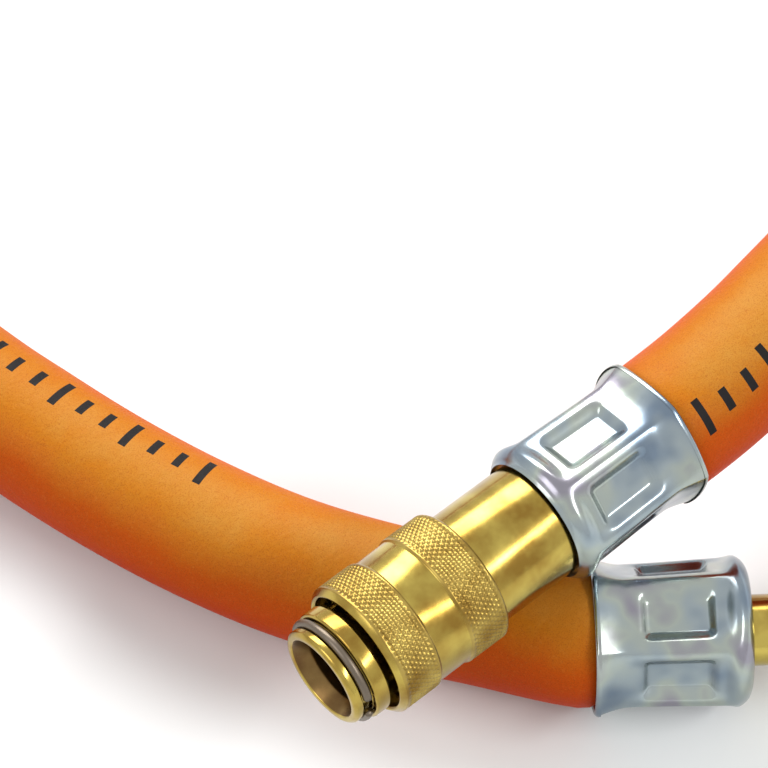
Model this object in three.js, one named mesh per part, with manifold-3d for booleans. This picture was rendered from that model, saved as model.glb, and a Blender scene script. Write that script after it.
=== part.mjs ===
// Flexible gas hose: a rubber hose with an automatic quick coupling on one end and a plug nipple on the other.
// Sizes are in millimetres. The part lies on z = 0, and the middle of its fittings is over the origin.
import * as THREE from 'three';
import { mergeVertices } from 'three/addons/utils/BufferGeometryUtils.js';
import Module from 'manifold-3d';

const wasm = await Module();
wasm.setup();

// Running and seating gaps
const RUN_GAP = 0.1;
const SEAT_GAP = 0.3;
const FACE_GAP = 0.05;
const SEAL_SHIFT = 0.03;

// Small chamfer on turned edges
const EDGE = 0.2;

// Places of the two fittings: the coupling's mouth faces -X, and the nipple lies on the floor
const COUPLER_MOUTH = new THREE.Vector3(-28.65, 10.7, 23.5);
const NIPPLE_RIM = new THREE.Vector3(1.35, 2.8, 8.4);
const NIPPLE_HEADING = THREE.MathUtils.degToRad(-37.5);

// Hose
const HOSE_D = 15;
const HOSE_SIDES = 10;
const HOSE_STEPS = 54;

// Ferrules: drawn cups, crimped to a hexagon with a waist before the flare. Each face is dished, with a dimple
// pressed in the middle of the dish.
const FERRULE_LENGTH = 16.7;
const FERRULE_WALL = 0.8;
const FERRULE_BODY_D = 16.2;
const FERRULE_FLATS = 14.4;
const FERRULE_RIM_D = 17.4;
const FERRULE_FLARE = 3.6;
const FERRULE_FILLET = 2.2;
const RIM_CRIMP = 0.6;
const WAIST_DEPTH = 0.25;
const CRIMP_FACES = 6;
const CRIMP_START = 1.2;
const CRIMP_RUN_IN = 2.0;
const DISH_DEPTH = 0.25;
const DISH_EDGE = 1.6;
const DISH_EDGE_ANGLE = THREE.MathUtils.degToRad(16);
const DIMPLE_START = 5.2;
const DIMPLE_LENGTH = 6.6;
const DIMPLE_HALF_ANGLE = THREE.MathUtils.degToRad(15);
const DIMPLE_EDGE_ANGLE = THREE.MathUtils.degToRad(8);
const DIMPLE_EDGE = 0.6;
const DIMPLE_DEPTH = 0.4;
const COUPLER_CRIMP_ANGLE = THREE.MathUtils.degToRad(18);
const NIPPLE_CRIMP_ANGLE = THREE.MathUtils.degToRad(17);
const FERRULE_RECESS = 0.6;
const RECESS_MARGIN = 0.35;
const FERRULE_INNER_BEVEL = 0.6;

// Barbed stems
const BARB_CREST_D = 9.0;
const BARB_ROOT_D = 8.0;
const BARB_LENGTH = 16;
const BARB_COUNT = 4;
const BARB_RISE = 0.3;
const BARB_LAND = 0.12;
const BARB_UNDERCUT = 0.1;

// Plug that the coupling takes, which is also this hose's own nipple
const PLUG_D = 7.5;
const PLUG_BORE_D = 4.0;
const PLUG_LENGTH = 14.5;
const PLUG_CHAMFER = 0.5;
const PLUG_GROOVE_AT = 4.0;
const PLUG_GROOVE_WIDTH = 2.2;
const PLUG_GROOVE_DEPTH = 0.5;

// Coupling body: lip, lead-in of the mouth, snap ring groove, seat of the stop collar, ball cage and valve chamber
const LIP_D = 11.2;
const LIP_ROUND = 0.5;
const MOUTH_D = 9.4;
const MOUTH_DEPTH = 1.8;
const CAGE_D = 11.0;
const BODY_BORE_GAP = 0.15;
const RING_GROOVE_AT = 1.05;
const RING_GROOVE_WIDTH = 1.1;
const RING_GROOVE_DEPTH = 0.55;
const RING_WIRE_D = 1.0;
const RING_OPEN_ANGLE = THREE.MathUtils.degToRad(26);
const RING_OPEN_AT = THREE.MathUtils.degToRad(176);
const COLLAR_WIDTH = 1.9;
const COLLAR_D = 12.6;
const SEAT_CONE_AT = 12.5;
const CHAMBER_D = 9.2;
const BODY_END = 19.6;

// Locking balls
const BALL_COUNT = 6;
const BALL_D = 2.2;
const BALL_AT = 7.0;
const BALL_TRAVEL = 0.6;
const BALL_HOLE_GAP = 0.06;
const BALL_LIP_GAP = 0.037;

// Sleeve: knurled bands with a smooth band between, a cam cone and a locking land inside
const SLEEVE_D = 15.2;
const SLEEVE_START = 4.6;
const FRONT_BAND = 5.2;
const SMOOTH_BAND = 4.0;
const REAR_BAND = 5.0;
const SMOOTH_BAND_DEPTH = 0.25;
const SLEEVE_CHAMFER = 0.6;
const SLEEVE_MOUTH_D = 13.3;
const SLEEVE_TRAVEL = 3.0;
const CAM_START_D = 12.4;
const LOCK_LAND_D = 11.3;
const LOCK_LAND_LENGTH = 1.1;

// Tail: smooth cylinder that the sleeve runs on, one piece with the barbed stem
const TAIL_START = 15.5;
const TAIL_D = 13.0;
const TAIL_VISIBLE_END = 28.6;
const TAIL_CHAMFER = 0.2;
const TAIL_PASSAGE_D = 5.0;
const TAIL_CHAMBER_D = 8.8;
const TAIL_CHAMBER_END = 23.0;
const TAIL_NECK_D = 10.4;

// Valve
const VALVE_NOSE_AT = 6.0;
const VALVE_NOSE_D = 7.6;
const VALVE_NOSE_BORE_D = 5.2;
const VALVE_BORE_END = 12.3;
const VALVE_PORT_D = 1.8;
const VALVE_PORT_AT = 11.3;
const VALVE_PORTS = 4;
const VALVE_NECK_D = 7.0;
const VALVE_NECK_END = 13.75;
const VALVE_FLANGE_D = 8.3;
const VALVE_FLANGE_WIDTH = 1.45;
const VALVE_BOSS_D = 5.2;
const VALVE_BOSS_LENGTH = 1.6;

// Seals
const VALVE_SEAL_WIRE_D = 0.84;
const FRONT_SEAL_WIRE_D = 1.0;
const FRONT_SEAL_AT = 10.35;
const FRONT_SEAL_GROOVE = 1.5;
const BODY_SEAL_WIRE_D = 0.7;

// Springs
const SLEEVE_SPRING_WIRE_D = 0.7;
const SLEEVE_SPRING_TURNS = 3.5;
const VALVE_SPRING_WIRE_D = 0.5;
const VALVE_SPRING_D = 6.6;
const VALVE_SPRING_TURNS = 5;

// Facets
const ROUND = 36;
const ROUND_SMALL = 24;
const BALL_HOLE_SIDES = 16;
const PORT_SIDES = 8;
const BALL_SIDES = 10;
const BALL_RINGS = 6;
const SEAL_SIDES = 6;
const WIRE_HALF_SIDES = 3;
const STEPS_PER_TURN = 11;
const RING_STEPS = 32;
const CORNER_STEPS = 3;
const FLARE_STATIONS = [0.35, 0.7];
const WELD_DISTANCE = 1e-4;

// How far cutting shapes run past what they cut
const CUT_PAST = 1;
const BALL_HOLE_PAST = 0.7;
const HOSE_CUT_PAST = 2;
const HOSE_CUT_LEAD = 0.5;
const HOSE_SKIN = 0.02;

// Centre line of the hose between the ferrules: off the coupling, down to the floor, round one loop and
// under the coupling to the nipple
const ROUTE = [
  [16.9, 10.7, 23.5], [25.6, 11.0, 23.5], [36.6, 12.4, 23.3], [52.1, 16.2, 21.7], [75.4, 26.6, 16.6],
  [95.8, 42.0, 11.0], [112.3, 61.5, 8.0], [124.1, 84.2, 7.5], [130.5, 108.9, 7.5], [131.3, 134.5, 7.5],
  [126.2, 159.5, 7.5], [114.1, 182.0, 7.5], [95.2, 199.1, 7.5], [71.6, 208.7, 7.5], [46.1, 209.6, 7.5],
  [21.9, 201.8, 7.5], [1.2, 186.8, 7.5], [-14.9, 167.0, 7.5], [-26.2, 144.1, 7.5], [-32.2, 119.2, 7.5],
  [-32.6, 93.6, 7.5], [-29.2, 70.9, 7.5], [-27.1, 60.8, 7.5], [-24.6, 50.8, 7.5], [-21.2, 40.4, 7.5],
  [-16.9, 30.4, 7.5], [-11.5, 21.3, 7.5], [-5.5, 12.9, 7.7], [1.35, 2.8, 8.4],
];

// Sizes that follow from those above
const plugRadius = PLUG_D / 2;
const bodyBore = plugRadius + BODY_BORE_GAP;
const lipRadius = LIP_D / 2;
const cageRadius = CAGE_D / 2;
const collarStart = RING_GROOVE_AT + RING_GROOVE_WIDTH + FACE_GAP;
const collarEnd = collarStart + COLLAR_WIDTH;
const ballRadius = BALL_D / 2;
const ballIn = plugRadius - PLUG_GROOVE_DEPTH + ballRadius + RUN_GAP;
const ballOut = ballIn + BALL_TRAVEL;
const sleeveRadius = SLEEVE_D / 2;
const sleeveEnd = SLEEVE_START + FRONT_BAND + SMOOTH_BAND + REAR_BAND;
const camStart = collarEnd + SLEEVE_TRAVEL + FACE_GAP;
const camSlope = BALL_TRAVEL / SLEEVE_TRAVEL;
const landStart = camStart + (CAM_START_D - LOCK_LAND_D) / 2 / camSlope;
const landEnd = landStart + LOCK_LAND_LENGTH;
const tailRadius = TAIL_D / 2;
const sleeveBore = tailRadius + RUN_GAP;
const bodySocket = cageRadius + RUN_GAP;
const bodySealAt = BODY_END + (BODY_SEAL_WIRE_D + RUN_GAP) / 2;
const socketEnd = BODY_END + BODY_SEAL_WIRE_D + RUN_GAP;
const ferruleHole = TAIL_NECK_D / 2 + RUN_GAP;
const ferruleFloor = FERRULE_RECESS + FERRULE_WALL;
const nippleFloor = FERRULE_WALL;
const flareStart = FERRULE_LENGTH - FERRULE_FLARE;
const hoseNeck = FERRULE_FLATS / 2 - FERRULE_WALL - WAIST_DEPTH - DISH_DEPTH - DIMPLE_DEPTH - SEAT_GAP;
const hoseRadius = HOSE_D / 2;
const valveSealMean = (VALVE_NECK_D + VALVE_SEAL_WIRE_D) / 2 + FACE_GAP;
const valveSealAt = VALVE_NECK_END - VALVE_SEAL_WIRE_D / 2 - SEAL_SHIFT;
const frontSealMean = bodyBore + FRONT_SEAL_WIRE_D / 2 - SEAL_SHIFT;
const valveFlangeEnd = VALVE_NECK_END + VALVE_FLANGE_WIDTH;

// Materials
const brass = () => new THREE.MeshStandardMaterial({ color: 0xc7a052, roughness: 0.25, metalness: 1 });
const zincSteel = () => new THREE.MeshStandardMaterial({ color: 0xc6ccd4, roughness: 0.3, metalness: 1 });
const springSteel = () => new THREE.MeshStandardMaterial({ color: 0x9a9c9e, roughness: 0.35, metalness: 1 });
const ballSteel = () => new THREE.MeshStandardMaterial({ color: 0xd0d3d6, roughness: 0.15, metalness: 1 });
const sealRubber = () => new THREE.MeshStandardMaterial({ color: 0x1d1d1f, roughness: 0.7, metalness: 0 });
const hoseRubber = () => new THREE.MeshStandardMaterial({ color: 0xe4661c, roughness: 0.75, metalness: 0 });

// A geometry with its shared corners joined, and without triangles that have no area
function welded(geometry) {
  const plain = geometry.index ? geometry.toNonIndexed() : geometry.clone();
  plain.deleteAttribute('normal');
  plain.deleteAttribute('uv');
  const merged = mergeVertices(plain, WELD_DISTANCE);
  const corners = merged.index.array;
  const kept = [];
  for (let i = 0; i < corners.length; i += 3) {
    const [a, b, c] = [corners[i], corners[i + 1], corners[i + 2]];
    if (a !== b && b !== c && c !== a) kept.push(a, b, c);
  }
  merged.setIndex(kept);
  return merged;
}

function toSolid(geometry) {
  const closed = welded(geometry);
  return new wasm.Manifold(new wasm.Mesh({
    numProp: 3,
    vertProperties: Float32Array.from(closed.attributes.position.array),
    triVerts: Uint32Array.from(closed.index.array),
  }));
}

function fromSolid(solid) {
  const mesh = solid.getMesh();
  const geometry = new THREE.BufferGeometry();
  geometry.setAttribute('position', new THREE.BufferAttribute(Float32Array.from(mesh.vertProperties), 3));
  geometry.setIndex(Array.from(mesh.triVerts));
  geometry.computeVertexNormals();
  return geometry;
}

// Turned piece: a profile of [radius, station] points, spun about the axis that becomes +X
function turned(profile, segments = ROUND) {
  let area = 0;
  profile.forEach(([r0, s0], i) => {
    const [r1, s1] = profile[(i + 1) % profile.length];
    area += r0 * s1 - r1 * s0;
  });
  const ordered = area > 0 ? [...profile] : [...profile].reverse();
  const first = ordered.findIndex(([r], i) => r === 0 && ordered[(i + 1) % ordered.length][0] > 0);
  const points = first < 0
    ? [...ordered, ordered[0]]
    : [...ordered.slice(first), ...ordered.slice(0, first)];
  const lathe = new THREE.LatheGeometry(points.map(([r, s]) => new THREE.Vector2(r, s)), segments);
  return lathe.rotateZ(-Math.PI / 2);
}

// Points of an arc in a profile, from one angle to another about [radius, station]
function arc([r, s], size, from, to, steps) {
  return Array.from({ length: steps + 1 }, (_, i) => {
    const angle = from + ((to - from) * i) / steps;
    return [r + size * Math.cos(angle), s + size * Math.sin(angle)];
  });
}

function oRing(meanRadius, station, wireD) {
  return turned(arc([meanRadius, station], wireD / 2, 0, Math.PI * 2, SEAL_SIDES).slice(1), ROUND_SMALL);
}

// Helical spring along +X between two stations, with round wire
function spring(meanD, wireD, turns, from, to) {
  class Helix extends THREE.Curve {
    getPoint(t, target = new THREE.Vector3()) {
      const angle = t * turns * Math.PI * 2;
      const reach = wireD / 2 + FACE_GAP;
      const station = from + reach + (to - from - 2 * reach) * t;
      return target.set(station, (meanD / 2) * Math.cos(angle), (meanD / 2) * Math.sin(angle));
    }
  }
  const wire = new THREE.Shape().absarc(0, 0, wireD / 2, 0, Math.PI * 2);
  return new THREE.ExtrudeGeometry(wire, {
    curveSegments: WIRE_HALF_SIDES,
    steps: Math.round(turns * STEPS_PER_TURN),
    extrudePath: new Helix(),
  });
}

// Barbed stem from one station on: teeth that slope towards the open end. A tooth rises over BARB_RISE of the
// pitch and has a land of BARB_LAND of it.
function barbs(from) {
  const pitch = BARB_LENGTH / BARB_COUNT;
  const points = [];
  for (let i = 0; i < BARB_COUNT; i += 1) {
    const crest = from + pitch * (i + BARB_RISE);
    points.push([BARB_CREST_D / 2, crest], [BARB_CREST_D / 2, crest + pitch * BARB_LAND]);
    points.push([BARB_ROOT_D / 2 - BARB_UNDERCUT, from + pitch * (i + 1)]);
  }
  return points;
}

function couplerBody() {
  const grooveEnd = RING_GROOVE_AT + RING_GROOVE_WIDTH;
  const sealRadius = bodyBore + FRONT_SEAL_WIRE_D;
  const chamber = CHAMBER_D / 2;
  const profile = [
    [MOUTH_D / 2, 0],
    ...arc([lipRadius - LIP_ROUND, LIP_ROUND], LIP_ROUND, -Math.PI / 2, 0, CORNER_STEPS),
    [lipRadius, RING_GROOVE_AT],
    [lipRadius - RING_GROOVE_DEPTH, RING_GROOVE_AT],
    [lipRadius - RING_GROOVE_DEPTH, grooveEnd],
    [lipRadius, grooveEnd],
    [lipRadius, collarEnd + FACE_GAP],
    [cageRadius, collarEnd + 2 * FACE_GAP],
    [cageRadius, BODY_END],
    [chamber, BODY_END],
    [chamber, SEAT_CONE_AT + chamber - bodyBore],
    [bodyBore, SEAT_CONE_AT],
    [bodyBore, FRONT_SEAL_AT + FRONT_SEAL_GROOVE / 2],
    [sealRadius, FRONT_SEAL_AT + FRONT_SEAL_GROOVE / 2],
    [sealRadius, FRONT_SEAL_AT - FRONT_SEAL_GROOVE / 2],
    [bodyBore, FRONT_SEAL_AT - FRONT_SEAL_GROOVE / 2],
    [bodyBore, MOUTH_DEPTH],
  ];
  let solid = toSolid(turned(profile));
  for (const hole of ballHoles()) solid = solid.subtract(toSolid(hole));
  return fromSolid(solid);
}

// Radial holes of the ball cage, narrowed at the bore so that the balls can't fall through
function ballHoles() {
  const wide = ballRadius + BALL_HOLE_GAP;
  const cap = Math.sqrt(ballRadius ** 2 - (ballIn - bodyBore) ** 2);
  const narrow = cap + BALL_LIP_GAP;
  const taperEnd = ballIn - RUN_GAP;
  const slope = (wide - narrow) / (taperEnd - bodyBore);
  const inside = bodyBore - BALL_HOLE_PAST;
  const hole = [
    [0, inside],
    [narrow - slope * (bodyBore - inside), inside],
    [wide, taperEnd],
    [wide, cageRadius + CUT_PAST],
    [0, cageRadius + CUT_PAST],
  ];
  return ballAngles().map((angle) => radial(turned(hole, BALL_HOLE_SIDES), angle, BALL_AT));
}

function ballAngles() {
  return Array.from({ length: BALL_COUNT }, (_, i) => (i * 2 * Math.PI) / BALL_COUNT);
}

// Turns a piece made along +X to stand out from the axis at an angle, counted from +Y towards +Z
function radial(geometry, angle, station) {
  geometry.rotateZ(Math.PI / 2);
  geometry.rotateX(angle);
  return geometry.translate(station, 0, 0);
}

function lockingBall(angle) {
  const ball = new THREE.SphereGeometry(ballRadius, BALL_SIDES, BALL_RINGS);
  return ball.translate(BALL_AT, ballOut * Math.cos(angle), ballOut * Math.sin(angle));
}

function stopCollar() {
  const outer = COLLAR_D / 2;
  return turned([
    [lipRadius + FACE_GAP, collarStart],
    [outer - EDGE, collarStart],
    [outer, collarStart + EDGE],
    [outer, collarEnd - EDGE],
    [outer - EDGE, collarEnd],
    [lipRadius + FACE_GAP, collarEnd],
  ]);
}

// Split wire ring in the groove of the lip
function snapRing() {
  const radius = lipRadius - RING_GROOVE_DEPTH + RING_WIRE_D / 2 + RUN_GAP;
  const station = RING_GROOVE_AT + RING_GROOVE_WIDTH / 2;
  class OpenRing extends THREE.Curve {
    getPoint(t, target = new THREE.Vector3()) {
      const angle = RING_OPEN_AT + RING_OPEN_ANGLE / 2 + t * (Math.PI * 2 - RING_OPEN_ANGLE);
      return target.set(station, radius * Math.cos(angle), radius * Math.sin(angle));
    }
  }
  const wire = new THREE.Shape().absarc(0, 0, RING_WIRE_D / 2, 0, Math.PI * 2);
  return new THREE.ExtrudeGeometry(wire, {
    curveSegments: WIRE_HALF_SIDES,
    steps: RING_STEPS,
    extrudePath: new OpenRing(),
  });
}

function couplerSleeve() {
  const mouth = SLEEVE_MOUTH_D / 2;
  const smooth = sleeveRadius - SMOOTH_BAND_DEPTH;
  const smoothStart = SLEEVE_START + FRONT_BAND;
  const smoothEnd = smoothStart + SMOOTH_BAND;
  return turned([
    [mouth, SLEEVE_START + EDGE],
    [mouth + EDGE, SLEEVE_START],
    [sleeveRadius - SLEEVE_CHAMFER, SLEEVE_START],
    [sleeveRadius, SLEEVE_START + SLEEVE_CHAMFER],
    [sleeveRadius, smoothStart - EDGE],
    [smooth, smoothStart],
    [smooth, smoothEnd],
    [sleeveRadius, smoothEnd + EDGE],
    [sleeveRadius, sleeveEnd - SLEEVE_CHAMFER / 2],
    [sleeveRadius - SLEEVE_CHAMFER / 2, sleeveEnd],
    [sleeveBore, sleeveEnd],
    [sleeveBore, landEnd],
    [LOCK_LAND_D / 2, landEnd],
    [LOCK_LAND_D / 2, landStart],
    [CAM_START_D / 2, camStart],
    [mouth, camStart],
  ]);
}

function couplerTail() {
  const seat = TAIL_VISIBLE_END + FERRULE_RECESS - FACE_GAP;
  const stem = TAIL_VISIBLE_END + ferruleFloor;
  const end = stem + SEAT_GAP + BARB_LENGTH;
  return turned([
    [bodySocket, TAIL_START],
    [tailRadius - TAIL_CHAMFER, TAIL_START],
    [tailRadius, TAIL_START + TAIL_CHAMFER],
    [tailRadius, seat],
    [TAIL_NECK_D / 2, seat],
    [TAIL_NECK_D / 2, stem],
    [BARB_ROOT_D / 2, stem],
    ...barbs(stem + SEAT_GAP),
    [TAIL_PASSAGE_D / 2, end],
    [TAIL_PASSAGE_D / 2, TAIL_CHAMBER_END],
    [TAIL_CHAMBER_D / 2, TAIL_CHAMBER_END],
    [TAIL_CHAMBER_D / 2, socketEnd],
    [bodySocket, socketEnd],
  ]);
}

function valve() {
  const nose = VALVE_NOSE_D / 2;
  const bore = VALVE_NOSE_BORE_D / 2;
  const boss = VALVE_BOSS_D / 2;
  const neck = VALVE_NECK_D / 2;
  const flange = VALVE_FLANGE_D / 2;
  const neckStart = VALVE_NECK_END - VALVE_SEAL_WIRE_D - 2 * FACE_GAP;
  const profile = [
    [0, VALVE_BORE_END],
    [bore, VALVE_BORE_END],
    [bore, VALVE_NOSE_AT],
    [nose - EDGE, VALVE_NOSE_AT],
    [nose, VALVE_NOSE_AT + EDGE],
    [nose, neckStart - RUN_GAP],
    [neck, neckStart],
    [neck, VALVE_NECK_END],
    [flange, VALVE_NECK_END],
    [flange, valveFlangeEnd],
    [boss, valveFlangeEnd],
    [boss - EDGE, valveFlangeEnd + VALVE_BOSS_LENGTH],
    [0, valveFlangeEnd + VALVE_BOSS_LENGTH],
  ];
  let solid = toSolid(turned(profile, ROUND_SMALL));
  for (let i = 0; i < VALVE_PORTS; i += 1) {
    const port = turned([
      [0, bore - CUT_PAST],
      [VALVE_PORT_D / 2, bore - CUT_PAST],
      [VALVE_PORT_D / 2, nose + CUT_PAST],
      [0, nose + CUT_PAST],
    ], PORT_SIDES);
    const angle = ((i + 0.5) * 2 * Math.PI) / VALVE_PORTS;
    solid = solid.subtract(toSolid(radial(port, angle, VALVE_PORT_AT)));
  }
  return fromSolid(solid);
}

// Wall of a ferrule before the crimp, from the edge of its hole over the outside to the rim and back inside.
// Stations run from the closed front face at 0 to the open rim.
function ferruleProfile(hole, recessRadius, recess) {
  const body = FERRULE_BODY_D / 2;
  const inner = body - FERRULE_WALL;
  const rim = FERRULE_RIM_D / 2;
  const flare = (t, inward = 0) => [body + (rim - body) * t * t - inward, flareStart + FERRULE_FLARE * t];
  const dimpleEnd = DIMPLE_START + DIMPLE_LENGTH;
  const outside = [
    DIMPLE_START - DISH_EDGE,
    DIMPLE_START - DISH_EDGE / 2,
    DIMPLE_START,
    DIMPLE_START + DIMPLE_EDGE,
    dimpleEnd - DIMPLE_EDGE,
    dimpleEnd,
    dimpleEnd + DISH_EDGE / 2,
  ];
  const inside = [dimpleEnd + DISH_EDGE / 2, dimpleEnd - DIMPLE_EDGE, DIMPLE_START, DIMPLE_START - DISH_EDGE];
  const filletCentre = [body - FERRULE_FILLET, FERRULE_FILLET];
  const along = Math.min(1, Math.max(0, (recessRadius - filletCentre[0]) / FERRULE_FILLET));
  const filletFrom = -Math.PI / 2 + Math.asin(along);
  const front = recess > 0 ? [[hole, recess], [recessRadius, recess]] : [[hole, 0]];
  return [
    ...front,
    ...arc(filletCentre, FERRULE_FILLET, filletFrom, 0, CORNER_STEPS),
    ...outside.map((s) => [body, s]),
    ...FLARE_STATIONS.map((t) => flare(t)),
    [rim, FERRULE_LENGTH - FERRULE_WALL / 2],
    [rim - FERRULE_WALL / 3, FERRULE_LENGTH],
    [rim - (FERRULE_WALL * 2) / 3, FERRULE_LENGTH],
    ...FLARE_STATIONS.toReversed().map((t) => flare(t, FERRULE_WALL)),
    ...inside.map((s) => [inner, s]),
    [inner, recess + FERRULE_WALL + FERRULE_INNER_BEVEL],
    [inner - FERRULE_INNER_BEVEL, recess + FERRULE_WALL],
    [hole, recess + FERRULE_WALL],
  ];
}

// Presses a drawn cup to its hexagon, with a waist, and a dish and a dimple into each face. It lies along +X.
function crimp(geometry, turn) {
  const position = geometry.attributes.position;
  const face = (Math.PI * 2) / CRIMP_FACES;
  const body = FERRULE_BODY_D / 2;
  const dimpleEnd = DIMPLE_START + DIMPLE_LENGTH;
  const ease = (t) => THREE.MathUtils.smoothstep(t, 0, 1);
  const panel = (off, station, edgeAngle, edge, grow) => {
    const across = 1 - ease((off - DIMPLE_HALF_ANGLE + DIMPLE_EDGE_ANGLE / 2) / edgeAngle);
    return across * ease((station - DIMPLE_START + grow) / edge) * ease((dimpleEnd + grow - station) / edge);
  };
  for (let i = 0; i < position.count; i += 1) {
    const station = position.getX(i);
    const y = position.getY(i);
    const z = position.getZ(i);
    const radius = Math.hypot(y, z);
    const angle = Math.atan2(z, y);
    const off = Math.abs(angle - turn - face * Math.round((angle - turn) / face));
    const flared = ease((station - flareStart) / FERRULE_FLARE);
    const waist = WAIST_DEPTH * ease((station - CRIMP_START) / (flareStart - CRIMP_START)) * (1 - flared);
    const flat = Math.min(body - waist, (FERRULE_FLATS / 2 - waist) / Math.cos(off));
    const pressIn = ease((station - CRIMP_START) / CRIMP_RUN_IN) * (1 - (1 - RIM_CRIMP) * flared);
    const dish = DISH_DEPTH * panel(off, station, DISH_EDGE_ANGLE, DISH_EDGE, DISH_EDGE);
    const dimple = DIMPLE_DEPTH * panel(off, station, DIMPLE_EDGE_ANGLE, DIMPLE_EDGE, 0);
    const pressed = radius > body - FERRULE_FILLET ? (body - flat) * pressIn + dish + dimple : 0;
    const scale = (radius - pressed) / radius;
    position.setXYZ(i, station, y * scale, z * scale);
  }
  return geometry;
}

function ferrule(hole, recessRadius, recess, turn) {
  const cup = turned(ferruleProfile(hole, recessRadius, recess));
  cup.rotateX(turn);
  return crimp(cup, turn);
}

function couplerFerrule() {
  const recessRadius = tailRadius + RECESS_MARGIN;
  return ferrule(ferruleHole, recessRadius, FERRULE_RECESS, COUPLER_CRIMP_ANGLE)
    .translate(TAIL_VISIBLE_END, 0, 0);
}

// The nipple is made along +X from its tip, with its ferrule's front face at the plug's length
function plugNipple() {
  const bore = PLUG_BORE_D / 2;
  const groove = plugRadius - PLUG_GROOVE_DEPTH;
  const half = PLUG_GROOVE_WIDTH / 2;
  const slope = PLUG_GROOVE_DEPTH;
  const stem = PLUG_LENGTH + nippleFloor;
  return turned([
    [bore + EDGE, 0],
    [plugRadius - PLUG_CHAMFER, 0],
    [plugRadius, PLUG_CHAMFER],
    [plugRadius, PLUG_GROOVE_AT - half],
    [groove, PLUG_GROOVE_AT - half + slope],
    [groove, PLUG_GROOVE_AT + half - slope],
    [plugRadius, PLUG_GROOVE_AT + half],
    [plugRadius, stem],
    [BARB_ROOT_D / 2, stem + RUN_GAP],
    ...barbs(stem + SEAT_GAP),
    [bore, stem + SEAT_GAP + BARB_LENGTH],
    [bore, EDGE],
  ], ROUND_SMALL);
}

function nippleFerrule() {
  const hole = plugRadius + RUN_GAP;
  return ferrule(hole, hole, 0, NIPPLE_CRIMP_ANGLE).translate(PLUG_LENGTH, 0, 0);
}

// What a ferrule and its barbed stem take away at the end of the hose. Stations run from the ferrule's face.
function hoseEndCuts(floor) {
  const end = floor + SEAT_GAP;
  const outside = hoseRadius + HOSE_CUT_PAST;
  const squeezed = turned([
    [hoseNeck, end - CUT_PAST],
    [hoseNeck, flareStart - HOSE_CUT_LEAD],
    [hoseRadius + HOSE_SKIN, FERRULE_LENGTH + HOSE_CUT_LEAD],
    [outside, FERRULE_LENGTH + HOSE_CUT_LEAD],
    [outside, end - CUT_PAST],
  ], ROUND_SMALL);
  const socketRadius = BARB_CREST_D / 2 + RUN_GAP;
  const socket = turned([
    [0, end - CUT_PAST],
    [socketRadius, end - CUT_PAST],
    [socketRadius, floor + SEAT_GAP + BARB_LENGTH + SEAT_GAP],
    [0, floor + SEAT_GAP + BARB_LENGTH + SEAT_GAP],
  ], ROUND_SMALL);
  return [squeezed, socket];
}

function hose() {
  const intoHose = new THREE.Vector3(Math.cos(NIPPLE_HEADING), Math.sin(NIPPLE_HEADING), 0).negate();
  const start = COUPLER_MOUTH.clone();
  start.x += TAIL_VISIBLE_END + ferruleFloor + SEAT_GAP;
  const end = NIPPLE_RIM.clone().addScaledVector(intoHose, nippleFloor + SEAT_GAP - FERRULE_LENGTH);
  const half = FERRULE_LENGTH / 2;
  const points = [
    start,
    start.clone().setX(start.x + half),
    ...ROUTE.map(([x, y, z]) => new THREE.Vector3(x, y, z)),
    end.clone().addScaledVector(intoHose, half),
    end,
  ];
  const path = new THREE.CatmullRomCurve3(points, false, 'catmullrom', 0.5);
  const section = new THREE.Shape().absarc(0, 0, hoseRadius, 0, Math.PI * 2);
  const tube = new THREE.ExtrudeGeometry(section, {
    curveSegments: HOSE_SIDES / 2,
    steps: HOSE_STEPS,
    extrudePath: path,
  });
  let solid = toSolid(tube);
  const couplerFace = new THREE.Matrix4()
    .setPosition(COUPLER_MOUTH.x + TAIL_VISIBLE_END, COUPLER_MOUTH.y, COUPLER_MOUTH.z);
  for (const cut of hoseEndCuts(ferruleFloor)) {
    solid = solid.subtract(toSolid(cut.applyMatrix4(couplerFace)));
  }
  const nippleFace = new THREE.Matrix4()
    .makeRotationZ(NIPPLE_HEADING + Math.PI)
    .setPosition(nipplePoint(PLUG_LENGTH));
  for (const cut of hoseEndCuts(nippleFloor)) {
    solid = solid.subtract(toSolid(cut.applyMatrix4(nippleFace)));
  }
  return fromSolid(solid);
}

// Point on the nipple's axis, a distance back from its tip
function nipplePoint(back) {
  const ahead = new THREE.Vector3(Math.cos(NIPPLE_HEADING), Math.sin(NIPPLE_HEADING), 0);
  return NIPPLE_RIM.clone().addScaledVector(ahead, PLUG_LENGTH + FERRULE_LENGTH - back);
}

function piece(name, geometry, material) {
  const mesh = new THREE.Mesh(geometry, material);
  mesh.name = name;
  return mesh;
}

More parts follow.
